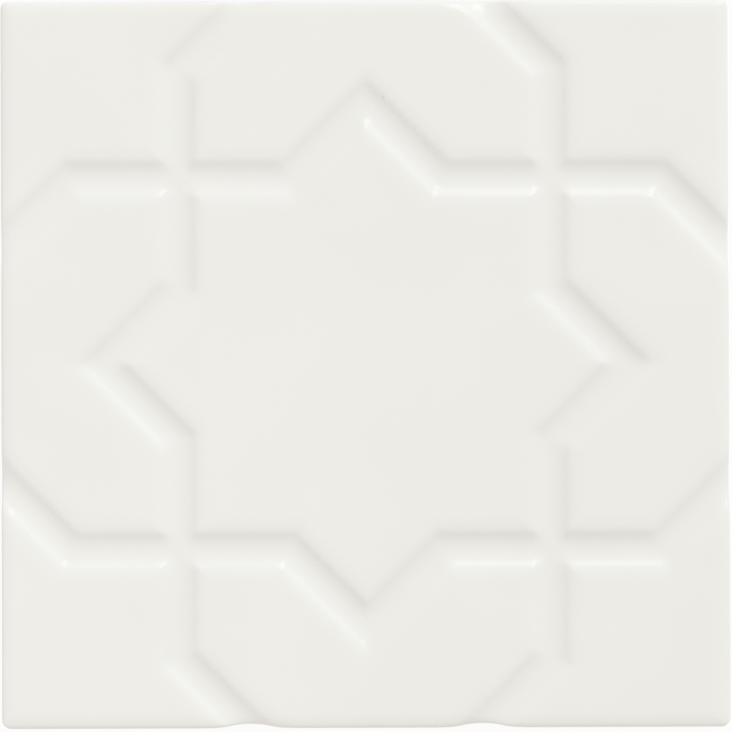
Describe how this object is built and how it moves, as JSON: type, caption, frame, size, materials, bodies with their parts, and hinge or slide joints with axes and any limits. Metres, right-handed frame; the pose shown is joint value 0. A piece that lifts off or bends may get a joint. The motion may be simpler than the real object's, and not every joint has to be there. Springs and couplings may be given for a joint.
{
  "type": "decorative star wall tile",
  "caption": "Square glossy off-white ceramic wall tile with a star and linked bands grooved into its cushioned face, and a keyed back for bedding in adhesive.",
  "frame": {"origin": "centre of the back, on the plane that the back rests on", "axes": "+Z from the back to the glazed face; +X and +Y along two adjacent sides of the tile"},
  "size_m": [0.148, 0.148, 0.009],
  "materials": {
    "white_glaze": "glossy off-white glaze on the face and the upper sides, over an unglazed pale biscuit body on the back"
  },
  "bodies": {
    "root": {"star_tile": "white_glaze"}
  },
  "joints": []
}
